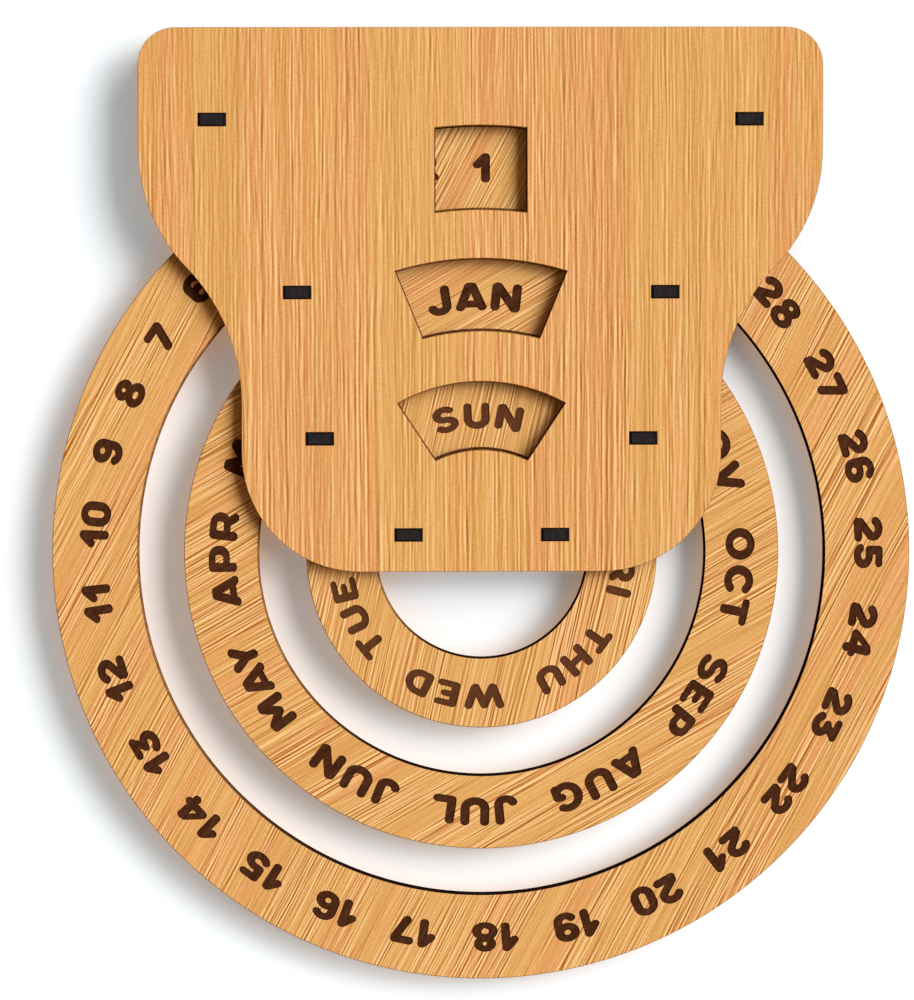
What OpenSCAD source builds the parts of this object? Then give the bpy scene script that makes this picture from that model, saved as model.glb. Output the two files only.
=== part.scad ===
// Wall calendar cut from bamboo plywood. Three flat rings carry the dates, the months and
// the weekdays. They hang one inside the other between two plates, and are turned by hand
// until today shows in the windows of the front plate.
// The calendar hangs in the XZ plane, its front faces -Y and the wall is at +Y. The origin
// is the centre of the hanging hole, on the rear face of the back plate.

/* [Sheet] */
// Thickness of the plywood that every piece is cut from
stock = 4; // [3:0.1:6]

/* [Plates] */
// Width of the two plates at the top
top_w = 213.6; // [200:0.2:240]
// Width of the two plates at the bottom
low_w = 150; // [140:0.2:170]
// Height of the plates' top edge above the date ring's rim
head_room = 29.2; // [27:0.2:50]
// Straight side, from the top edge down to the shoulder
side_h = 37.8; // [20:0.2:44]
// Radius of the top corners
corner_r = 11.6; // [4:0.2:18]
// Radius of the shoulder, where the side turns inwards
shoulder_r = 53; // [40:0.5:62]
// Radius of the hollow below the shoulder
hollow_r = 61; // [40:0.5:64]
// Radius of the bottom corners
foot_r = 37; // [20:0.2:46]
// Height of the rings' common centre above the bottom edge
centre_h = 5.6; // [3:0.2:12]

/* [Rings] */
// Outer radius of the date ring
date_r = 135; // [130:0.2:138]
// Width of the date ring from rim to rim
date_band = 27; // [24:0.2:28]
// Width of the month ring
month_band = 23.4; // [20:0.2:25]
// Width of the weekday ring
weekday_band = 22.2; // [19:0.2:24]
// Open space between the date ring and the month ring
ring_gap = 14.4; // [14:0.2:16]
// Open space between the month ring and the weekday ring
weekday_gap = 15; // [14:0.2:16]
// Room for a ring on each side between the plates
ring_play = 0.5; // [0.3:0.1:1.5]

/* [Windows] */
// Width of the date window
date_window_w = 28.4; // [24:0.2:32]
// Width of the month window along its top
month_window_w = 53.2; // [48:0.2:58]
// Width of the month window along its bottom
month_window_low_w = 36.2; // [32:0.2:40]
// Width of the weekday window along its top
weekday_window_w = 52; // [46:0.2:56]
// Width of the weekday window along its bottom
weekday_window_low_w = 28.6; // [24:0.2:32]
// Wood between a ring's outer rim and the top of its window
window_top_cover = 1.4; // [0.6:0.1:3]
// How far the bottom of a window reaches below its ring
window_low_reach = 0.3; // [0:0.1:1.5]

/* [Tabs] */
// Width of a tab's tenon
tenon_w = 8.7; // [7:0.1:10]
// Clearance on each side of a tenon in its slot
slot_clear = 0.05; // [0.02:0.01:0.2]
// How far a tenon stands out of the front plate
tenon_proud = 0.3; // [0:0.1:1]
// Bevel on the front end of a tenon
tenon_bevel = 0.4; // [0.1:0.1:1]
// Shoulder beside the tenon where no ring sets its length
shoulder_w = 4; // [2:0.2:6]
// Clearance between a ring's inner rim and the corner that carries it
seat_clear = 0.3; // [0.1:0.05:0.5]
// Clearance between a tab and the ring inside it
pass_clear = 0.5; // [0.3:0.1:1]
// Distance of the date and month tabs inside their ring's inner rim
tab_inset = 8; // [7:0.1:8.4]
// Distance of the weekday tabs inside their ring's inner rim
weekday_tab_inset = 9.3; // [8:0.1:12]
// Angle of the date tabs above the horizontal through the rings' centre
date_tab_a = 54.9; // [50:0.1:58]
// Angle of the month tabs
month_tab_a = 35.5; // [30:0.1:40]
// Angle of the weekday tabs
weekday_tab_a = 14.5; // [10:0.1:20]
// Distance of the top spacers from the plate's side
spacer_side = 23; // [18:0.1:30]
// Distance of the top spacers from the plate's top edge
spacer_drop = 28.6; // [20:0.1:34]

/* [Hanging] */
// Radius of the hole that passes over the screw's head
key_head_r = 4.5; // [4:0.1:5]
// Radius of the slot that holds the screw's shank
key_slot_r = 2.2; // [1.6:0.1:2.4]
// Climb from the head hole to the end of the slot
key_climb = 8; // [7:0.1:10]
// Space between the date ring and the screw's head
key_space = 4.5; // [3:0.1:6]

/* [Hidden] */
$fn = 144;

bamboo = "#e2a963";
light_bamboo = "#e8b574";
char = "#2c2320";

LEFT = -1;
RIGHT = 1;

// Room between the plates, and the depth of the whole sandwich
gap = stock + 2 * ring_play;
depth = 2 * stock + gap;

// Ring radii, each from the one outside it
date_in_r = date_r - date_band;
month_r = date_in_r - ring_gap;
month_in_r = month_r - month_band;
weekday_r = month_in_r - weekday_gap;
weekday_in_r = weekday_r - weekday_band;

// Heights on the plates, counted from the rings' centre
top_z = date_r + head_room;
side_z = top_z - side_h;
bottom_z = -centre_h;

// The shoulder and the hollow turn through the same angle. The hollow bites a hair into
// the shoulder, so that the two arcs cross instead of only touching.
bite = 0.02;
turn_a = acos(1 - (top_w - low_w) / 2 / (shoulder_r + hollow_r));
turn_z = side_z - shoulder_r * sin(turn_a);
turn_w = top_w - 2 * shoulder_r * (1 - cos(turn_a));
low_z = turn_z - hollow_r * sin(turn_a) + bite;

// Places of the tabs' centres to the right of the middle, as [x, z]
date_tab = polar(date_in_r - tab_inset, date_tab_a);
month_tab = polar(month_in_r - tab_inset, month_tab_a);
weekday_tab = polar(weekday_in_r - weekday_tab_inset, weekday_tab_a);
spacer_tab = [top_w / 2 - spacer_side, top_z - spacer_drop];
tab_places = [date_tab, month_tab, weekday_tab, spacer_tab];
plain_reach = tenon_w / 2 + shoulder_w;

// Height of the hanging hole above the rings' centre
hang_z = date_r + key_space + key_head_r;

// Length by which a cutting shape runs past what it cuts
spill = 1;

function polar(r, a) = [r * cos(a), r * sin(a)];

// A tab reaches outwards until its top corner meets the ring's inner rim
function outer_reach(tab, in_r) =
    sqrt(pow(in_r - seat_clear, 2) - pow(tab[1] + stock / 2, 2)) - tab[0];

// It reaches inwards until its bottom corner nears the rim of the next ring
function inner_reach(tab, out_r) =
    tab[0] - sqrt(pow(out_r + pass_clear, 2) - pow(tab[1] - stock / 2, 2));

// Flat shapes are drawn around the rings' centre, with Y upwards.
module band(low, high, w) {
    translate([-w / 2, low]) square([w, high - low]);
}

module both_sides(x, z) {
    for (side = [LEFT, RIGHT]) translate([side * x, z]) children();
}

module plate_top() {
    band(side_z, top_z - corner_r, top_w);
    band(top_z - corner_r, top_z, top_w - 2 * corner_r);
    both_sides(top_w / 2 - corner_r, top_z - corner_r) circle(corner_r);
}

module plate_shoulder() {
    intersection() {
        band(turn_z, side_z, top_w);
        union() {
            band(turn_z, side_z, top_w - 2 * shoulder_r);
            both_sides(top_w / 2 - shoulder_r, side_z) circle(shoulder_r);
        }
    }
}

module plate_middle() {
    difference() {
        union() {
            plate_shoulder();
            band(low_z, turn_z, turn_w);
        }
        both_sides(low_w / 2 + hollow_r, low_z) circle(hollow_r);
    }
}

module plate_foot() {
    band(bottom_z + foot_r, low_z, low_w);
    band(bottom_z, bottom_z + foot_r, low_w - 2 * foot_r);
    both_sides(low_w / 2 - foot_r, bottom_z + foot_r) circle(foot_r);
}

module plate_outline() {
    plate_top();
    plate_middle();
    plate_foot();
}

module tab_slots() {
    for (place = tab_places)
        both_sides(place[0], place[1])
            square([tenon_w + 2 * slot_clear, stock + 2 * slot_clear], center = true);
}

// A window lies between two arcs round the rings' centre. Its sides flare from the ends
// of the bottom arc to the ends of the top arc.
module window(in_r, out_r, low_width, top_width) {
    low_end = sqrt(pow(in_r, 2) - pow(low_width / 2, 2));
    top_end = sqrt(pow(out_r, 2) - pow(top_width / 2, 2));
    flare = (top_width - low_width) / 2 / (top_end - low_end);
    low = low_end - spill;
    high = out_r + spill;
    low_half = low_width / 2 - flare * spill;
    high_half = low_width / 2 + flare * (high - low_end);
    intersection() {
        ring_shape(out_r, in_r);
        polygon([[-low_half, low], [low_half, low], [high_half, high], [-high_half, high]]);
    }
}

module windows() {
    window(date_in_r - window_low_reach, date_r - window_top_cover, date_window_w, date_window_w);
    window(month_in_r - window_low_reach, month_r - window_top_cover,
        month_window_low_w, month_window_w);
    window(weekday_in_r - window_low_reach, weekday_r - window_top_cover,
        weekday_window_low_w, weekday_window_w);
}

module keyhole() {
    translate([0, hang_z]) {
        circle(key_head_r);
        band(0, key_climb, 2 * key_slot_r);
        translate([0, key_climb]) circle(key_slot_r);
    }
}

module ring_shape(out_r, in_r) {
    difference() {
        circle(out_r);
        circle(in_r);
    }
}

// Stands a flat shape up as a sheet whose rear face is back_y from the wall
module sheet(back_y) {
    translate([0, -back_y, -hang_z]) rotate([90, 0, 0]) linear_extrude(stock) children();
}

module ring(out_r, in_r) {
    sheet(stock + ring_play) ring_shape(out_r, in_r);
}

// A tab is a cross seen from above: a tenon that runs through both plates, and
// shoulders that keep the plates apart.
module tab_outline(outwards, inwards) {
    half = tenon_w / 2;
    front = -depth - tenon_proud;
    polygon([[half, 0], [-half, 0], [-half, front + tenon_bevel], [tenon_bevel - half, front],
        [half - tenon_bevel, front], [half, front + tenon_bevel]]);
    translate([-inwards, -stock - gap]) square([inwards + outwards, gap]);
}

module tab(side, place, outwards, inwards) {
    translate([side * place[0], 0, place[1] - stock / 2 - hang_z])
        scale([side, 1, 1])
            linear_extrude(stock) tab_outline(outwards, inwards);
}

module front_plate() {
    color(bamboo) sheet(stock + gap) difference() {
        plate_outline();
        windows();
        tab_slots();
    }
}

module back_plate() {
    color(bamboo) sheet(0) difference() {
        plate_outline();
        tab_slots();
        keyhole();
    }
}

module date_ring() {
    color(light_bamboo) ring(date_r, date_in_r);
}

module month_ring() {
    color(light_bamboo) ring(month_r, month_in_r);
}

module weekday_ring() {
    color(light_bamboo) ring(weekday_r, weekday_in_r);
}

module top_spacer(side) {
    color(char) tab(side, spacer_tab, plain_reach, plain_reach);
}

module date_carrier(side) {
    color(char) tab(side, date_tab, outer_reach(date_tab, date_in_r),
        inner_reach(date_tab, month_r));
}

module month_carrier(side) {
    color(char) tab(side, month_tab, outer_reach(month_tab, month_in_r),
        inner_reach(month_tab, weekday_r));
}

module weekday_carrier(side) {
    color(char) tab(side, weekday_tab, outer_reach(weekday_tab, weekday_in_r), plain_reach);
}

front_plate();
back_plate();
date_ring();
month_ring();
weekday_ring();
top_spacer(LEFT);  // top_spacer_left
top_spacer(RIGHT);  // top_spacer_right
date_carrier(LEFT);  // date_carrier_left
date_carrier(RIGHT);  // date_carrier_right
month_carrier(LEFT);  // month_carrier_left
month_carrier(RIGHT);  // month_carrier_right
weekday_carrier(LEFT);  // weekday_carrier_left
weekday_carrier(RIGHT);  // weekday_carrier_right
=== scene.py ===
"""Looks of the wooden wall calendar: bamboo plywood, laser-cut edges, and burnt dial marks."""

import math

import bmesh
import bpy
from mathutils import Matrix, Vector


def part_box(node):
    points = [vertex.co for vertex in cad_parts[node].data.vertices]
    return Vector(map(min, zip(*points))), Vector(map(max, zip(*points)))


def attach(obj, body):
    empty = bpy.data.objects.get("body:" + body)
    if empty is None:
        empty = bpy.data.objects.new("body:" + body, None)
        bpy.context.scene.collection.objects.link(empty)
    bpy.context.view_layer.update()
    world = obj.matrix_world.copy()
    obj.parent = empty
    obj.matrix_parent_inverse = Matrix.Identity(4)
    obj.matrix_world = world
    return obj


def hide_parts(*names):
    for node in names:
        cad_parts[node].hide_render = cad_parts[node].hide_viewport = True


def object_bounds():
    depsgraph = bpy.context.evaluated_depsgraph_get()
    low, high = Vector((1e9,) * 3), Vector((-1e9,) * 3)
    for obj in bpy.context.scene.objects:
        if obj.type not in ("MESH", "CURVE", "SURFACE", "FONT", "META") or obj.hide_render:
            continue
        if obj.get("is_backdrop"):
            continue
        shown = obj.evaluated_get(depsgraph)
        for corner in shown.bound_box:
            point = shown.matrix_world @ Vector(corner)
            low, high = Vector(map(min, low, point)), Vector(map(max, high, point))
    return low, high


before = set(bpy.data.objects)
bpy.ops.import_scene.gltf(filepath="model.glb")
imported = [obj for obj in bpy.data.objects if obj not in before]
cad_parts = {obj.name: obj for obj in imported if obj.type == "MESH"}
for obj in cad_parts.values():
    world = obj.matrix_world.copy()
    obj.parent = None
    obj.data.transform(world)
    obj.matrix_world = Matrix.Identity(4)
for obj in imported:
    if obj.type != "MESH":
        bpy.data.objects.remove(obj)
CAD_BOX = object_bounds()

MM = 0.001
STOCK = 4 * MM

# The middle of the rings, which all three turn about
CENTRE = Vector((0, 0, -0.144))

# The way to the side where a ring's walls get painted shade, as black char, as seen from the front
PAINTED_SHADE_SIDE = (0.77, 0, -0.64)

# Y of the front face of each of the three layers of plywood
FRONT_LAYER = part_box("front_plate")[0].y
RING_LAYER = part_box("date_ring")[0].y
BACK_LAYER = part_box("back_plate")[0].y


def paint(red, green, blue):
    """A colour as Blender wants it, from the three numbers of a paint program."""

    def linear(level):
        level = level / 255
        return level / 12.92 if level <= 0.04045 else ((level + 0.055) / 1.055) ** 2.4

    return (linear(red), linear(green), linear(blue), 1)


# Paints. A pair is the two ends of a mottle.

GOLDEN = paint(229, 169, 95)
REDDISH = paint(231, 161, 96)
DARK_FIBRE = paint(168, 92, 24)
PALE_FIBRE = paint(255, 208, 142)
BROWN_CHAR = paint(128, 84, 50), paint(165, 114, 68)
# Black char; on a ring's lower right it stands for painted shade
BLACK_CHAR_AND_PAINTED_SHADE = paint(24, 13, 9), paint(40, 25, 17)
CORE_PLY = paint(38, 22, 14)
CHAR_STRIPE = paint(34, 20, 13)
BROWNED_WOOD = paint(160, 104, 50), paint(124, 78, 36)
BROWNED_SPOT = paint(74, 44, 22)
BURN = paint(73, 38, 20), paint(88, 51, 30)
BURN_SPOT = paint(54, 26, 11)
FAINT_BURN = paint(126, 76, 46)
GREY_BLOOM = paint(38, 33, 33), paint(48, 43, 43)
BLOOM_STRIPE = paint(30, 25, 25)
BARE_CHAR = paint(15, 7, 5)


# Materials


class Level:
    """One output in a node tree. Sums with it add Math nodes."""

    def __init__(self, tree, socket):
        self.tree = tree
        self.socket = socket

    def sum(self, operation, first, second):
        return self.tree.node("Math", {0: first, 1: second}, operation=operation)

    def __add__(self, other):
        return self.sum("ADD", self, other)

    def __radd__(self, other):
        return self.sum("ADD", other, self)

    def __sub__(self, other):
        return self.sum("SUBTRACT", self, other)

    def __rsub__(self, other):
        return self.sum("SUBTRACT", other, self)

    def __mul__(self, other):
        return self.sum("MULTIPLY", self, other)

    def __rmul__(self, other):
        return self.sum("MULTIPLY", other, self)


class Finish:
    """The node tree of a material or of the world, empty at first."""

    # How far apart the noises of two seeds are taken, in patches
    SEED_STEP = (3.7, 5.1, 7.3)

    # A pale fibre lies this many widths beside a dark one, and is this strong against it
    PALE_ASIDE = 1.36
    PALE_STRENGTH = 0.75

    def __init__(self, owner):
        owner.use_nodes = True
        self.owner = owner
        self.nodes = owner.node_tree.nodes
        self.links = owner.node_tree.links
        self.nodes.clear()

    def node(self, kind, inputs, output=0, **settings):
        """A new node with its settings, and with a value or a link for each of its inputs."""
        made = self.nodes.new("ShaderNode" + kind)
        for name, value in settings.items():
            setattr(made, name, value)
        for name, value in inputs.items():
            if isinstance(value, Level):
                self.links.new(value.socket, made.inputs[name])
            else:
                made.inputs[name].default_value = value
        return Level(self, made.outputs[output]) if made.outputs else made

    def mix(self, factor, first, second):
        """The first colour at 0, the second at 1. Colours are the node's inputs 6 and 7."""
        inputs = {0: factor, 6: first, 7: second}
        return self.node("Mix", inputs, output=2, data_type="RGBA")

    def step(self, level, low, high):
        """0 below low, 1 above high, and a soft rise between them."""
        inputs = {"Value": level, "From Min": low, "From Max": high}
        return self.node("MapRange", inputs, interpolation_type="SMOOTHSTEP")

    def rise(self, level, low, high):
        """0 below low, 1 above high, and a straight rise between them."""
        return self.node("MapRange", {"Value": level, "From Min": low, "From Max": high})

    def place(self, grain=0, middle=(0, 0, 0)):
        """Millimetres on a piece: X across the grain, Y into the sheet and Z along the grain.
        Grain is its slant in degrees, and middle is the point that they start from."""
        point = self.node("TexCoord", {}, output="Object")
        turned = {
            "Vector": point,
            "Location": middle,
            "Rotation": (0, math.radians(grain), 0),
            "Scale": (MM, MM, MM),
        }
        return self.node("Mapping", turned, vector_type="TEXTURE")

    def noise(self, point, size, seed, detail=1, aside=0):
        """Noise from 0 to 1. Size is the width of a patch along X, Y and Z, and aside moves the
        patches that many widths across the grain."""
        scale = tuple(1 / width for width in size)
        shift = [seed * step for step in self.SEED_STEP]
        shift[0] += aside
        spot = self.node("VectorMath", {0: point, 1: scale, 2: shift}, operation="MULTIPLY_ADD")
        return self.node("TexNoise", {"Vector": spot, "Scale": 1, "Detail": detail})

    def streaks(self, point, size, seed):
        """Fibres about zero: each dark one has a pale one beside it."""
        here = self.noise(point, size, seed, detail=0)
        beside = self.noise(point, size, seed, detail=0, aside=self.PALE_ASIDE)
        return (here - 0.5) - self.PALE_STRENGTH * (beside - 0.5)

    def surface(self, colour, rough, height, depth, shine=0):
        """Ends the tree as one opaque surface. Depth is what the height stands for, in metres."""
        bump = self.node("Bump", {"Strength": 1, "Distance": depth, "Height": height})
        inputs = {
            "Base Color": colour,
            "Roughness": rough,
            "Normal": bump,
            "Specular IOR Level": shine,
        }
        shader = self.node("BsdfPrincipled", inputs)
        self.node("OutputMaterial", {"Surface": shader})
        return self.owner


def bamboo(name, grain, seed, bold, patchy, fibre=0.5, middle=(0, 0, 0)):
    """Pressed bamboo: long sharp fibres, dark and pale by turns, in golden and reddish strips.
    Bold is how far the fibres stand out, patchy is how much that differs from place to place,
    and fibre is the width of one in millimetres."""
    finish = Finish(bpy.data.materials.new(name))
    point = finish.place(grain, middle)
    wave = finish.noise(point, (14, 30, 60), seed)
    sway = finish.node("CombineXYZ", {"X": (wave - 0.5) * 1.6})
    point = finish.node("VectorMath", {0: point, 1: sway}, operation="ADD")

    strip = finish.noise(point, (9, 30, 400), seed + 1)
    red = finish.step(strip, 0.46, 0.6)
    lines = finish.streaks(point, (fibre, 4, 300), seed + 2)
    dashes = finish.streaks(point, (fibre, 4, 13), seed + 3)
    bands = finish.noise(point, (2.4, 6, 120), seed + 4)
    specks = finish.noise(point, (0.3, 0.5, 0.5), seed + 5)
    crowd = finish.noise(point, (4, 20, 60), seed + 6)
    fade = finish.noise(point, (1.1, 6, 15), seed + 7)

    # Tone is 0.5 in plain wood, less in a dark fibre and more in a pale one
    crowded = 1 - patchy + 2 * patchy * finish.step(crowd, 0.35, 0.65)
    busy = crowded * (0.85 + 0.3 * red) * bold
    fibres = lines * (0.25 + 1.4 * fade) + dashes * 0.75
    tone = 0.5 + fibres * busy + (bands - 0.5) * 0.3 + (specks - 0.5) * 0.35
    plain = finish.mix(red, GOLDEN, REDDISH)
    colour = finish.mix(finish.rise(tone, 0.5, 0), plain, DARK_FIBRE)
    colour = finish.mix(finish.rise(tone, 0.5, 0.85), colour, PALE_FIBRE)

    rough = 0.5 + 0.15 * bands
    height = lines + specks * 0.4
    return finish.surface(colour, rough, height, 0.03 * MM, shine=0.1)


def charred(name, front, seed, middle=None):
    """A laser-cut wall in fine stripes, black with brown places. On a ring, whose middle is given,
    it is brown on the upper left and painted black on the lower right, as shade. Front is the Y
    of the sheet's front face."""
    finish = Finish(bpy.data.materials.new(name))
    point = finish.place(0, middle or (0, 0, 0))
    stripes = finish.noise(point, (0.35, 60, 0.35), seed, detail=2)
    soot = finish.noise(point, (2.5, 2.5, 2.5), seed + 1, detail=3)
    # On a ring the black leans towards the lower right: painted shade, not burn
    if middle:
        flat = finish.node("VectorMath", {0: point, 1: (1, 0, 1)}, operation="MULTIPLY")
        way = finish.node("VectorMath", {0: flat}, operation="NORMALIZE")
        lean = {0: way, 1: PAINTED_SHADE_SIDE}
        side = finish.node("VectorMath", lean, output="Value", operation="DOT_PRODUCT")
    else:
        side = (finish.noise(point, (9, 9, 9), seed + 2) - 0.4) * 1.5
    # Black char: on a ring, painted shade on the lower right; on a plate, random places
    burn_and_painted_shade = finish.step(side + (soot - 0.5) * 0.5, -0.6, 0.3)
    mottle = finish.step(soot, 0.35, 0.7)
    colour = finish.mix(burn_and_painted_shade, finish.mix(mottle, *BROWN_CHAR), finish.mix(mottle, *BLACK_CHAR_AND_PAINTED_SHADE))

    # The core ply is darker than the veneers on both sides of it
    depth = finish.node("SeparateXYZ", {0: point}, output="Y") - front / MM
    core = finish.step(depth, 1.15, 1.3) - finish.step(depth, 2.7, 2.85)
    colour = finish.mix(core * 0.4, colour, CORE_PLY)

    colour = finish.mix(finish.step(stripes, 0.5, 0.75) * 0.5, colour, CHAR_STRIPE)
    return finish.surface(colour, 0.7 + 0.2 * soot, stripes, 0.06 * MM)


def scorched(name, grain, seed):
    """The rim of a cut: wood browned by the beam."""
    finish = Finish(bpy.data.materials.new(name))
    point = finish.place(grain)
    strands = finish.noise(point, (0.6, 4, 30), seed, detail=2)
    soot = finish.noise(point, (3, 3, 3), seed + 1, detail=3)
    colour = finish.mix(finish.step(strands, 0.4, 0.65), *BROWNED_WOOD)
    colour = finish.mix(finish.step(soot, 0.5, 0.75) * 0.5, colour, BROWNED_SPOT)
    return finish.surface(colour, 0.6 + 0.2 * soot, strands, 0.04 * MM)


def burnt(name, grain, seed, faint=0):
    """The floor of an engraved mark: dark brown, mottled, with the fibres just showing. A faint
    burn is paler."""
    finish = Finish(bpy.data.materials.new(name))
    point = finish.place(grain)
    strands = finish.noise(point, (0.7, 4, 20), seed, detail=2)
    mottle = finish.noise(point, (1.6, 1.6, 1.6), seed + 1, detail=3)
    colour = finish.mix(finish.step(strands, 0.4, 0.7), *BURN)
    colour = finish.mix(finish.step(mottle, 0.45, 0.7) * 0.6, colour, BURN_SPOT)
    colour = finish.mix(faint, colour, FAINT_BURN)
    height = strands * 0.6 + mottle * 0.4
    return finish.surface(colour, 0.75 + 0.15 * mottle, height, 0.08 * MM, shine=0.02)


def tenon_end(name, seed, bloom=1):
    """The end of a tab: char with a grey bloom, or black where it has none."""
    finish = Finish(bpy.data.materials.new(name))
    point = finish.place()
    stripes = finish.noise(point, (0.4, 60, 3), seed, detail=2)
    soot = finish.noise(point, (1.5, 1.5, 1.5), seed + 1, detail=3)
    colour = finish.mix(finish.step(soot, 0.35, 0.7), *GREY_BLOOM)
    colour = finish.mix(finish.step(stripes, 0.45, 0.7) * 0.5, colour, BLOOM_STRIPE)
    colour = finish.mix(bloom, BARE_CHAR, colour)
    return finish.surface(colour, 0.55 + 0.2 * soot, stripes, 0.05 * MM, shine=0.03)


# Pieces

# Points nearer than this are one point
TOUCHING = 0.001 * MM

# Faces that meet at less than this angle, in radians, are one curved wall
SMOOTH_ANGLE = 0.4

# A face looks along an axis if its normal goes at least this far that way
FACING = 0.9

# Widths of the softened rims: of a window, of the rest of a plate, of a ring inside and outside,
# and of a tab's nose
WINDOW_RIM = 0.36 * MM
PLATE_RIM = 0.12 * MM
INNER_RIM = 0.45 * MM
OUTER_RIM = 0.2 * MM
TAB_NOSE = 0.4 * MM

# The finishes of a plate or a ring, and those of a tab
WOOD, CHAR, SCORCH, MARK = range(4)
TAB_FACE, TAB_WALL, TAB_END, TAB_RIM = range(4)


def in_scene(name, data):
    """A new object at the origin: a mesh, a lamp or a camera."""
    made = bpy.data.objects.new(name, data)
    bpy.context.scene.collection.objects.link(made)
    return made


def mesh_of(name, bm, finishes):
    """Ends a bmesh as a mesh that has these finishes."""
    mesh = bpy.data.meshes.new(name)
    bm.to_mesh(mesh)
    bm.free()
    for finish in finishes:
        mesh.materials.append(finish)
    return mesh


def finished(name, bm, body, nodes, finishes):
    """A piece from its mesh. It takes the nodes' place and rides on their body."""
    piece = in_scene(name, mesh_of(name, bm, finishes))
    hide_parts(*nodes)
    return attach(piece, body)


def merged_copy(node):
    """A CAD node's mesh, joined up and with its flat faces whole."""
    bm = bmesh.new()
    bm.from_mesh(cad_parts[node].data)
    bmesh.ops.remove_doubles(bm, verts=bm.verts, dist=TOUCHING)
    bmesh.ops.dissolve_limit(bm, angle_limit=0.002, verts=bm.verts, edges=bm.edges)
    return bm


def soften(bm, edges, width):
    """Rounds edges over, and gives the new faces."""
    made = bmesh.ops.bevel(
        bm,
        geom=edges,
        offset=width,
        affect="EDGES",
        segments=2,
        profile=0.5,
        material=-1,
        clamp_overlap=True,
    )
    return made["faces"]


def loops_of(edges):
    """Sorts edges into closed loops, in the order of their first edges."""
    left = set(edges)
    loops = []
    for first in edges:
        if first in left:
            left.remove(first)
            loop = [first]
            for edge in loop:
                for vert in edge.verts:
                    beyond = [other for other in vert.link_edges if other in left]
                    left.difference_update(beyond)
                    loop.extend(beyond)
            loops.append(loop)
    return loops


def span(edges):
    """Width of a loop of edges."""
    across = [vert.co.x for edge in edges for vert in edge.verts]
    return max(across) - min(across)


def smooth_walls(bm):
    """Curved walls shade smoothly, and every cut stays crisp."""
    for face in bm.faces:
        face.smooth = abs(face.normal.y) < FACING
    for edge in bm.edges:
        edge.smooth = len(edge.link_faces) == 2 and edge.calc_face_angle() < SMOOTH_ANGLE


def plate(node, layer, seed):
    """A plate: bamboo faces with the grain upright, charred walls and scorched rims. A window's
    rims are wider than those of the outline and the slots, and burnt darker at its sides."""
    bm = merged_copy(node)
    for face in bm.faces:
        face.material_index = WOOD if abs(face.normal.y) > FACING else CHAR
    for level in (layer, layer + STOCK):
        rims = [
            edge
            for edge in bm.edges
            if all(abs(vert.co.y - level) < 0.01 * MM for vert in edge.verts)
            and edge.calc_face_angle() > SMOOTH_ANGLE
        ]
        for loop in loops_of(rims):
            window = 20 * MM < span(loop) < 100 * MM
            for face in soften(bm, loop, WINDOW_RIM if window else PLATE_RIM):
                side = abs(face.normal.x) > abs(face.normal.z)
                face.material_index = MARK if window and side else SCORCH
    smooth_walls(bm)
    finishes = [
        bamboo(node + "_bamboo", 0, seed, bold=0.66, patchy=0.3),
        charred(node + "_cut_edge", layer, seed + 10),
        scorched(node + "_rim", 0, seed + 20),
        burnt(node + "_window_rim", 0, seed + 30),
    ]
    finished(node + "_sheet", bm, "frame", [node], finishes)


# Lettering. A mark is drawn with a round nib: each stroke is a row of points and bows, and a
# bow is (centre x, centre y, half width, half height, first angle, last angle). A stroke may
# start with a finer nib of its own. A mark starts with its width and how much lower than wide
# the nib is. Lengths are in steps of the pattern, and a ring says how long its step is.

NIB = 4.45
FIGURE_HEIGHT = 29.3
LETTER_HEIGHT = 28.3

# How deep the marks are burnt, and how far their cutters stand proud of the ring's face
MARK_DEPTH = 0.3 * MM
CUTTER_PROUD = 0.5 * MM

# Each layer of strokes is a little wider and deeper than the last, so no two share a face
LAYER_WIDER = 0.002
LAYER_DEEPER = 0.008 * MM

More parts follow.
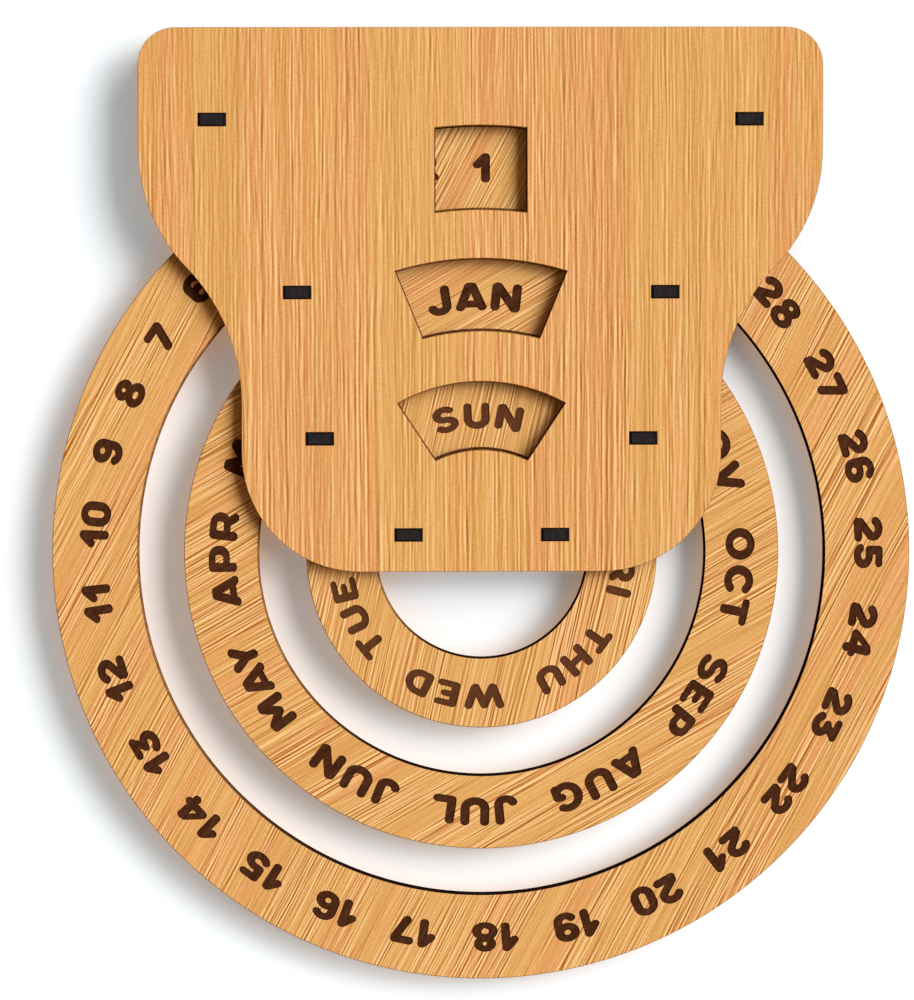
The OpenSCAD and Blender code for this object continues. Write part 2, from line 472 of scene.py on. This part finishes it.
MARKS = {
    "0": (25.2, 0.77, [(12.6, 18.2, 7.9, 7.2, 90, 180), (12.6, 10.4, 7.9, 7.8, 180, 270)],
          [(12.6, 10.4, 7.9, 7.8, -90, 0), (12.6, 18.2, 7.9, 7.2, 0, 90)]),
    "1": (17, 0.82, [(4.4, 17.4), (11.9, 25)], [(12.5, 25.2), (12.5, 3.7)]),
    "2": (23, 0.88, [(11.5, 19.6, 7.9, 5.9, 150, -27), (4.8, 7.9)], [(4.4, 4.9), (19.5, 4.9)]),
    "3": (24.4, 0.85, [(5, 25.2), (19.2, 25.2)], [(18.4, 25.2), (11.6, 15.7)],
          [(10, 15.6), (11.6, 9.8, 8.3, 5.8, 90, -150)]),
    "4": (26, 0.87, [3.4, (15.3, 25.9), (4.7, 13.5)], [(4.3, 11), (23, 11)],
          [(18.8, 25.8), (18.8, 4.8)]),
    "5": (24.3, 0.81, [(6.2, 25.3), (18.8, 25.1)], [(6.3, 25.2), (6.1, 18)],
          [(6.2, 15.6), (11.6, 9.8, 8.2, 5.9, 80, -150)]),
    "6": (24.6, 0.77, [(12.4, 19.2, 7.8, 6.4, 35, 180), (4.7, 9)], [(12.4, 9.1, 7.6, 5.8, 90, 270)],
          [(12.4, 9.1, 7.6, 5.8, -90, 90)]),
    "7": (23.8, 0.88, [(4.5, 24.1), (19.2, 24.1)], [(18.9, 22.3), (10, 3.8)]),
    "8": (25.6, 0.7, [(12.8, 20.6, 6.6, 4.9, 90, 270)], [(12.8, 20.6, 6.6, 4.9, -90, 90)],
          [(12.8, 8.1, 8.3, 5.9, 90, 270)], [(12.8, 8.1, 8.3, 5.9, -90, 90)]),
    "9": (24.6, 0.79, [(12.2, 9, 7.8, 6.6, 215, 360), (20, 19.2)], [(12.3, 18.9, 7.7, 5.9, 90, 270)],
          [(12.3, 18.9, 7.7, 5.9, -90, 90)]),
    "A": (29.2, 0.75, [(13, 24.2), (4.3, 3.8)], [(16.3, 24.2), (24.9, 3.8)], [(7, 7), (22, 7)]),
    "B": (26, 0.73, [(4.6, 24.6), (4.6, 4)],
          [(4.6, 24.8), (13.4, 24.8), (13.4, 19.8, 6.4, 5, 90, -90), (4.6, 14.8)],
          [(4.6, 14.2), (14, 14.2), (14, 9, 7.5, 5.2, 90, -90), (4.6, 3.8)]),
    "C": (27, 0.83, [(15, 14.6, 10.5, 10.3, 45, 314)]),
    "D": (28.7, 0.8, [(4.8, 21.7), (4.8, 4)],
          [(5, 23.8), (12, 23.8), (13.2, 13.8, 11, 10, 90, -90), (4.8, 3.8)]),
    "E": (24.7, 0.76, [(4.5, 24.6), (4.5, 4.2)], [(4.6, 24.6), (20.1, 24.6)],
          [(4.5, 14.5), (15, 14.5)], [(4.5, 4.1), (20.2, 4.1)]),
    "F": (24, 0.76, [(4.5, 24.6), (4.5, 4.2)], [(4.6, 24.6), (19.6, 24.6)],
          [(4.5, 14.2), (15.5, 14.2)]),
    "G": (29, 0.79, [(15.8, 13.5, 11.4, 10.7, 56, 317)], [(24.2, 11.8), (24.4, 3.6)],
          [(20.5, 12.6), (23.8, 12.4)]),
    "H": (27.9, 0.83, [(4.5, 24.2), (4.5, 4.3)], [(23.4, 24.2), (23.4, 4.3)],
          [(4.5, 14.2), (23.4, 14.2)]),
    "I": (9, 0.9, [(4.5, 24.6), (4.5, 4.6)]),
    "J": (22.7, 0.82, [(18.2, 23.3), (18.2, 8.5), (11.1, 7.8, 7.1, 5.2, 0, -161)]),
    "L": (22.7, 0.82, [(4.4, 23.3), (4.4, 4)], [(4.6, 3.4), (18.4, 3.5)]),
    "M": (32.3, 0.85, [(4.7, 23.7), (4.4, 4.1)], [(7, 24.2), (15.8, 11)],
          [(26, 24.2), (15.8, 11)], [(28, 23.7), (27.8, 4.1)]),
    "N": (28.8, 0.88, [(4.6, 23.3), (4.5, 4.4)], [(6.2, 24), (22.8, 4.3)], [(24.3, 23.8), (24.1, 4.8)]),
    "O": (30.9, 0.81, [(15.4, 14.8, 10.9, 10.4, 90, 270)], [(15.4, 14.8, 10.9, 10.4, -90, 90)]),
    "P": (25.6, 0.73, [(4.6, 24.7), (4.6, 4.2)],
          [(5.2, 24.8), (14.6, 24.8), (14.7, 17.9, 6.4, 6.9, 90, -90), (4.6, 11)]),
    "R": (27, 0.75, [(4.7, 24.2), (4.7, 4.1)],
          [(5.2, 24.8), (15.5, 24.8), (15.7, 18.2, 6.6, 6.6, 90, -90), (4.8, 11.6)],
          [(16.9, 12), (22.5, 4.4)]),
    "S": (26.3, 0.74, [(12.9, 19.6, 8.5, 5.5, 40, 270), (12.9, 8.8, 8.9, 5.3, 90, -145)]),
    "T": (23.8, 0.82, [(3.2, 24.6), (20.6, 24.6)], [(12.1, 24.3), (12.2, 4.7)]),
    "U": (28.3, 0.85, [(4.6, 23.5), (4.6, 10.4), (14.1, 10.4, 9.5, 6.9, 180, 360), (23.6, 23.5)]),
    "V": (27.3, 0.9, [(4.4, 24.3), (12.3, 5.2)], [(22.9, 24.3), (15.1, 5.2)]),
    "W": (42.6, 0.92, [(4.4, 22.8), (11.4, 4.2)], [(12.4, 3.8), (21.2, 22.4)],
          [(21.4, 22.4), (30.2, 3.8)], [(31.4, 4.2), (38.2, 22.8)]),
    "Y": (18.7, 0.87, [(-1.6, 24.3), (5.4, 12.8)], [(14.3, 24.3), (6.6, 12.4)], [(6, 13), (6, 4.5)]),
}


def trail(stroke):
    """The points of a stroke, with its bows drawn out at about every 9 degrees."""
    points = []
    for item in stroke:
        if len(item) == 2:
            points.append(Vector(item))
            continue
        x, y, wide, high, first, last = item
        steps = max(4, round(abs(last - first) / 9))
        for step in range(steps + 1):
            turn = math.radians(first + (last - first) * step / steps)
            points.append(Vector((x + wide * math.cos(turn), y + high * math.sin(turn))))

    # Of points that nearly meet, only the first is kept
    kept = points[:1]
    for point in points[1:]:
        if (point - kept[-1]).length > 0.05:
            kept.append(point)
    return kept


def draw(bm, stroke, nib, squeeze, place):
    """Lays one stroke of the nib as a flat strip with round ends. The nib's height is squeeze
    times its width."""
    points = [Vector((p.x, p.y / squeeze)) for p in trail(stroke)]
    ways = [(b - a).normalized() for a, b in zip(points, points[1:])]
    courses = [ways[0]] + [(a + b).normalized() for a, b in zip(ways, ways[1:])] + [ways[-1]]
    rows = [(point, way, nib) for point, way in zip(points, courses)]
    cap = [math.radians(15 * step) for step in range(6)]
    head = [(points[0] - ways[0] * nib * math.cos(t), ways[0], nib * math.sin(t)) for t in cap]
    tail = [(points[-1] + ways[-1] * nib * math.cos(t), ways[-1], nib * math.sin(t)) for t in cap]
    rows = head + rows + tail[::-1]
    strip = bmesh.ops.create_grid(bm, x_segments=len(rows) - 1, y_segments=1, size=0.5)
    for vert in strip["verts"]:
        spot, way, reach = rows[round((vert.co.x + 0.5) * (len(rows) - 1))]
        side = reach if vert.co.y > 0 else -reach
        spot = spot + Vector((-way.y, way.x)) * side
        vert.co = place @ Vector((spot.x, 0, spot.y * squeeze))


class Dial:
    """The marks round a ring. Fixed gives the angles of the first word and of some others, in
    degrees anticlockwise from the top. Radius is from the ring's centre to the middle of a mark,
    step is the pattern's step, and gap is between two marks of a word, in steps. Drop moves all
    the marks down, and inset moves some words towards the centre."""

    def __init__(self, words, fixed, radius, step, gap, drop=0, inset=None):
        self.words = words
        self.fixed = fixed
        self.radius = radius
        self.step = step
        self.gap = gap
        self.drop = drop
        self.inset = inset or {}

    def turn_of(self, length):
        """The angle that a length in steps takes up on the ring."""
        return math.degrees(length * self.step / self.radius)

    def width(self, word):
        """The length of a word in steps."""
        return sum(MARKS[mark][0] for mark in word) + self.gap * (len(word) - 1)

    def angles(self):
        """Every word's angle. The words between two fixed ones stand at equal spaces."""
        angles = []
        stops = [(self.words.index(word), angle) for word, angle in self.fixed.items()]
        stops.append((len(self.words), stops[0][1] + 360))
        for (first, start), (last, end) in zip(stops, stops[1:]):
            run = [self.words[n % len(self.words)] for n in range(first, last + 1)]
            turns = [self.turn_of(self.width(word)) for word in run]
            inked = sum(turns) - (turns[0] + turns[-1]) / 2
            space = (end - start - inked) / (len(run) - 1)
            angle = start
            for turn, following in zip(turns, turns[1:]):
                angles.append(angle)
                angle += (turn + following) / 2 + space
        return angles

    def places(self):
        """Each mark with the matrix that takes it from the pattern to the ring."""
        for word, angle in zip(self.words, self.angles()):
            radius = self.radius - self.inset.get(word, 0)
            along = -self.width(word) / 2
            for mark in word:
                wide = MARKS[mark][0]
                high = FIGURE_HEIGHT if mark.isdigit() else LETTER_HEIGHT
                turn = math.radians(angle - self.turn_of(along + wide / 2))
                along += wide + self.gap
                yield mark, (
                    Matrix.Translation(CENTRE - Vector((0, 0, self.drop)))
                    @ Matrix.Rotation(-turn, 4, "Y")
                    @ Matrix.Translation((0, 0, radius))
                    @ Matrix.Scale(self.step, 4)
                    @ Matrix.Translation((-wide / 2, 0, -high / 2))
                )

    def cutters(self, finishes):
        """Solids that cut the marks into the ring's front face, and have the ring's finishes.
        Each mark gives one stroke to a solid, so no two strokes in the same solid overlap."""
        marks = list(self.places())
        layers = max(len(MARKS[mark]) - 2 for mark, place in marks)
        for layer in range(layers):
            bm = bmesh.new()
            for mark, place in marks:
                squeeze, *strokes = MARKS[mark][1:]
                if layer < len(strokes):
                    stroke = strokes[layer]
                    own = isinstance(stroke[0], float)
                    nib = (stroke[0] if own else NIB) * (1 + LAYER_WIDER * layer)
                    draw(bm, stroke[1:] if own else stroke, nib, squeeze, place)
            bmesh.ops.remove_doubles(bm, verts=bm.verts, dist=TOUCHING)
            bmesh.ops.translate(bm, verts=bm.verts, vec=(0, RING_LAYER - CUTTER_PROUD, 0))
            raised = bmesh.ops.extrude_face_region(bm, geom=bm.faces[:])
            floor = [item for item in raised["geom"] if isinstance(item, bmesh.types.BMVert)]
            sink = CUTTER_PROUD + MARK_DEPTH + LAYER_DEEPER * layer
            bmesh.ops.translate(bm, verts=floor, vec=(0, sink, 0))
            bmesh.ops.recalc_face_normals(bm, faces=bm.faces)
            for face in bm.faces:
                face.material_index = MARK
            yield in_scene("cutter", mesh_of("cutter", bm, finishes))


def ring_blank(inner, outer, steps):
    """A plain ring with its rims rounded over, turned from its section in that many steps."""
    bm = bmesh.new()
    bmesh.ops.create_grid(bm, x_segments=1, y_segments=1, size=0.5)
    bmesh.ops.scale(bm, verts=bm.verts, vec=(outer - inner, STOCK, 1))
    bmesh.ops.translate(bm, verts=bm.verts, vec=((inner + outer) / 2, RING_LAYER + STOCK / 2, 0))
    for rim, width in ((inner, INNER_RIM), (outer, OUTER_RIM)):
        bmesh.ops.bevel(
            bm,
            geom=[vert for vert in bm.verts if abs(vert.co.x - rim) < TOUCHING],
            offset=width,
            affect="VERTICES",
            segments=2,
            profile=0.5,
            material=-1,
        )
    bmesh.ops.delete(bm, geom=bm.faces[:], context="FACES_ONLY")
    bmesh.ops.spin(
        bm,
        geom=bm.verts[:] + bm.edges[:],
        cent=(0, 0, 0),
        axis=(0, 1, 0),
        angle=math.tau,
        steps=steps,
        use_merge=True,
    )
    bmesh.ops.remove_doubles(bm, verts=bm.verts, dist=TOUCHING)
    bmesh.ops.recalc_face_normals(bm, faces=bm.faces)
    bmesh.ops.translate(bm, verts=bm.verts, vec=CENTRE)

    # The inner rim is charred like the walls, with the same painted shade on the lower right, and the
    # outer one is only browned
    for face in bm.faces:
        flat = abs(face.normal.y)
        inside = face.normal.dot(face.calc_center_median() - CENTRE) < 0
        if flat > 0.99:
            face.material_index = WOOD
        elif inside or flat < 0.01:
            face.material_index = CHAR
        else:
            face.material_index = SCORCH
    return bm


def engrave(piece, dial):
    """Cuts a dial's marks into a ring."""
    cutters = list(dial.cutters(piece.data.materials))
    for cutter in cutters:
        cut = piece.modifiers.new("marks", "BOOLEAN")
        cut.object = cutter
        cut.operation = "DIFFERENCE"
        cut.solver = "MANIFOLD"
    bpy.context.view_layer.update()
    engraved = piece.evaluated_get(bpy.context.evaluated_depsgraph_get())
    mesh = bpy.data.meshes.new_from_object(engraved)
    piece.modifiers.clear()
    piece.data = mesh
    mesh.name = piece.name
    for cutter in cutters:
        bpy.data.objects.remove(cutter)

    # The marks leave fine edges, so only points that coincide are merged
    bm = bmesh.new()
    bm.from_mesh(mesh)
    bmesh.ops.remove_doubles(bm, verts=bm.verts, dist=TOUCHING / 5)
    smooth_walls(bm)
    bm.to_mesh(mesh)
    bm.free()


def ring(node, dial, grain, seed, steps, faint=0):
    """A ring with its marks burnt in. It takes the node's place and turns with its body. Grain
    is the slant of its fibres, in degrees."""
    outer = round((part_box(node)[1].x - CENTRE.x) / MM, 2) * MM
    inner = min(
        math.hypot(vert.co.x - CENTRE.x, vert.co.z - CENTRE.z)
        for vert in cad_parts[node].data.vertices
    )
    bm = ring_blank(round(inner / MM, 1) * MM, outer, steps)
    finishes = [
        bamboo(node + "_bamboo", grain, seed, bold=0.9, patchy=0.7, fibre=0.38, middle=CENTRE),
        charred(node + "_cut_edge", RING_LAYER, seed + 10, CENTRE),
        scorched(node + "_rim", grain, seed + 20),
        burnt(node + "_mark", grain, seed + 30, faint),
    ]
    engrave(finished(node + "_dial", bm, node, [node], finishes), dial)


def tab(node, seed):
    """A tab: bamboo above and below and charred all round. Its front end has a black rim."""
    bm = merged_copy(node)
    for face in bm.faces:
        face.material_index = TAB_FACE if abs(face.normal.z) > FACING else TAB_WALL
        if face.normal.y < -FACING and face.calc_center_median().y < FRONT_LAYER:
            face.material_index = TAB_END
    nose = [
        edge
        for edge in bm.edges
        if all(vert.co.y < FRONT_LAYER - 0.1 * MM for vert in edge.verts)
        and edge.calc_face_angle() > SMOOTH_ANGLE
    ]
    for face in soften(bm, nose, TAB_NOSE):
        face.material_index = TAB_RIM
    smooth_walls(bm)
    finishes = [
        bamboo(node + "_bamboo", 90, seed, bold=0.7, patchy=0.3),
        charred(node + "_cut_edge", FRONT_LAYER, seed + 10),
        tenon_end(node + "_end", seed + 20),
        tenon_end(node + "_rim", seed + 30, bloom=0.1),
    ]
    finished(node + "_tab", bm, "frame", [node], finishes)


plate("front_plate", FRONT_LAYER, seed=1)
plate("back_plate", BACK_LAYER, seed=41)

DATES = [str(day) for day in range(1, 32)]
MONTHS = ["JAN", "FEB", "MAR", "APR", "MAY", "JUN", "JUL", "AUG", "SEP", "OCT", "NOV", "DEC"]
WEEKDAYS = ["SUN", "MON", "TUE", "WED", "THU", "FRI", "SAT"]

ring(
    "date_ring",
    Dial(
        DATES,
        {
            "1": -0.1,
            "2": 8.3,
            "6": 46.8,
            "10": 85.6,
            "12": 109.05,
            "17": 169.7,
            "20": 206.85,
            "24": 258.3,
            "28": 310.1,
            "31": 349.4,
        },
        radius=0.12203,
        step=0.00032,
        gap=3.5,
        inset={"1": 0.0011, "7": 0.0006, "8": 0.0004},
    ),
    grain=28,
    seed=2,
    steps=360,
)
ring(
    "month_ring",
    Dial(
        MONTHS,
        {"JAN": 1.55, "APR": 90.9, "JUN": 150.2, "OCT": 265.3, "NOV": 295.4},
        radius=0.08136,
        step=0.000329,
        gap=4.8,
        drop=0.0007,
    ),
    grain=60,
    seed=3,
    steps=288,
)
ring(
    "weekday_ring",
    Dial(
        WEEKDAYS,
        {"SUN": 1.4, "TUE": 116, "THU": 221.3, "FRI": 267.5},
        radius=0.04443,
        step=0.000295,
        gap=6.3,
        drop=0.0011,
    ),
    grain=13,
    seed=4,
    steps=216,
    faint=0.35,
)

TABS = sorted(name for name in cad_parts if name.endswith(("left", "right")))
for count, node in enumerate(TABS):
    tab(node, seed=60 + count)


# Stage

WHITE = (1, 1, 1, 1)
PLASTER = (0.86, 0.805, 0.77, 1)
ROOM_LIGHT = (0.65, 0.87, 1, 1)
WARM_FILL = (1, 0.64, 0.34, 1)
DAYLIGHT = (0.86, 0.935, 1)
REAR_LIGHT = (0.9, 0.96, 1)

# The wall starts this far behind the calendar and leans by this many degrees
WALL_GAP = 1.8 * MM
WALL_LEAN = -0.8


def wall():
    """The white wall behind the calendar. It shows only from the front, and takes shadows. It
    leans away a little on the left, where the shadows are longer. It glows with a painted room
    light, whose glow is dimmed as painted shade where the calendar closes the wall in."""
    finish = Finish(bpy.data.materials.new("wall_white"))
    seen = finish.node("LightPath", {}, output="Is Camera Ray")
    back = finish.node("NewGeometry", {}, output="Backfacing")
    plaster = finish.node("BsdfDiffuse", {"Color": PLASTER})
    # A painted room light: the wall glows, less where the calendar closes it in, as painted shade
    room = finish.node("AmbientOcclusion", {"Color": ROOM_LIGHT, "Distance": 0.1})
    glow = finish.node("Emission", {"Color": room, "Strength": 0.46})
    lit = finish.node("AddShader", {0: plaster, 1: glow})
    clear = finish.node("BsdfTransparent", {})
    face = finish.node("MixShader", {0: seen * (1 - back), 1: clear, 2: lit})
    finish.node("OutputMaterial", {"Surface": face})
    bm = bmesh.new()
    bmesh.ops.create_grid(bm, x_segments=1, y_segments=1, size=3)
    bmesh.ops.rotate(bm, verts=bm.verts, matrix=Matrix.Rotation(math.pi / 2, 3, "X"))
    bmesh.ops.rotate(bm, verts=bm.verts, matrix=Matrix.Rotation(math.radians(WALL_LEAN), 3, "Z"))
    bmesh.ops.translate(bm, verts=bm.verts, vec=(0, WALL_GAP, 0))
    in_scene("wall", mesh_of("wall", bm, [finish.owner]))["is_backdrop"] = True


def sky():
    """White to the camera and in reflections, and a soft warm light on the object."""
    world = bpy.data.worlds.new("studio")
    bpy.context.scene.world = world
    finish = Finish(world)
    eye = finish.node("LightPath", {}, output="Is Camera Ray")
    gloss = finish.node("LightPath", {}, output="Is Glossy Ray")
    glass = finish.node("LightPath", {}, output="Is Transmission Ray")
    seen = finish.node("Math", {0: eye + gloss + glass, 1: 1}, operation="MINIMUM")
    fill = finish.node("Background", {"Color": WARM_FILL, "Strength": 0.2})
    white = finish.node("Background", {"Color": WHITE, "Strength": 1})
    light = finish.node("MixShader", {0: seen, 1: fill, 2: white})
    finish.node("OutputWorld", {"Surface": light})


def lamp(name, towards, colour, energy, width):
    """A distant soft lamp that stands in that direction from the calendar, and looks that many
    degrees wide from there."""
    data = bpy.data.lights.new(name, "SUN")
    data.color = colour
    data.energy = energy
    data.angle = math.radians(width)
    in_scene(name, data).rotation_euler = Vector(towards).to_track_quat("Z", "Y").to_euler()


def camera():
    """The photograph is taken from nearly straight on, a little from above, and turned a hair."""
    data = bpy.data.cameras.new("camera")
    data.sensor_width = 36
    data.lens = 97.2
    eye = Vector((-0.0166, -0.8579, -0.0976))
    target = Vector((-0.0077, -0.0085, -0.1273))
    view = in_scene("camera", data)
    view.location = eye
    view.rotation_euler = (target - eye).to_track_quat("-Z", "Y").to_euler()
    view.rotation_euler.rotate_axis("Z", math.radians(-0.15))
    bpy.context.scene.camera = view


wall()
sky()
lamp("window_low", (0.74, -0.667, 0.087), DAYLIGHT, energy=2.18, width=36)
lamp("window_high", (0.656, -0.591, 0.469), DAYLIGHT, energy=2.46, width=36)
lamp("rear", (-0.2, 0.95, 0.25), REAR_LIGHT, energy=2.2, width=45)
camera()
bpy.context.scene.view_settings.view_transform = "Standard"

boxes = [[list(corner) for corner in box] for box in (CAD_BOX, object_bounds())]
